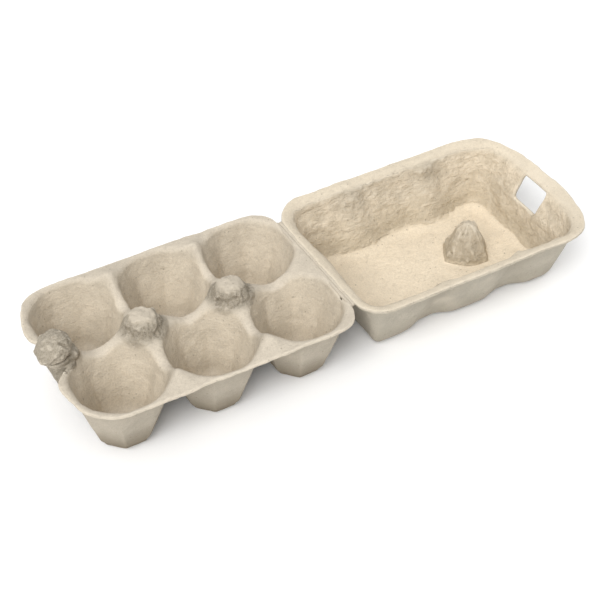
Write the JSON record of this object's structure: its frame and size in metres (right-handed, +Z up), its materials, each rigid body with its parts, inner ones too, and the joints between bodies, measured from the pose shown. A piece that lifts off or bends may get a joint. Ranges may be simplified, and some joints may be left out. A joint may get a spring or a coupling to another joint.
{
  "type": "egg carton",
  "caption": "Moulded pulp carton that holds hen's eggs in separate cups, with a fold-over lid and a knob-and-window latch.",
  "frame": {"origin": "on the table under the middle of the fold line, with the carton lying open", "axes": "+X from the fold line over the lid, -X over the tray to the latch; +Y along the fold line to the back row of cups; +Z up"},
  "size_m": [0.297, 0.102, 0.0535],
  "materials": {
    "tray_pulp": "matte moulded paper pulp, light grey-beige",
    "lid_pulp": "matte moulded paper pulp, slightly creamier"
  },
  "bodies": {
    "tray": {"tray_rim": "tray_pulp", "egg_cup_front_1": "tray_pulp", "egg_cup_front_2": "tray_pulp", "egg_cup_front_3": "tray_pulp", "egg_cup_back_1": "tray_pulp", "egg_cup_back_2": "tray_pulp", "egg_cup_back_3": "tray_pulp", "centre_post_latch_side": "tray_pulp", "centre_post_hinge_side": "tray_pulp", "latch_knob": "tray_pulp", "hinge_strip": "tray_pulp"},
    "lid": {"lid_top_panel": "lid_pulp", "lid_rim": "lid_pulp", "lid_front_wall": "lid_pulp", "lid_back_wall": "lid_pulp", "lid_hinge_wall": "lid_pulp", "lid_latch_wall": "lid_pulp", "lid_inner_post": "lid_pulp"}
  },
  "joints": [
    {"name": "lid_hinge", "type": "hinge", "parent": "tray", "child": "lid", "pos_m": [0, 0, 0.0382], "axis": [0, -1, 0], "range_deg": [0, 180], "deforming": ["hinge_strip"]}
  ]
}
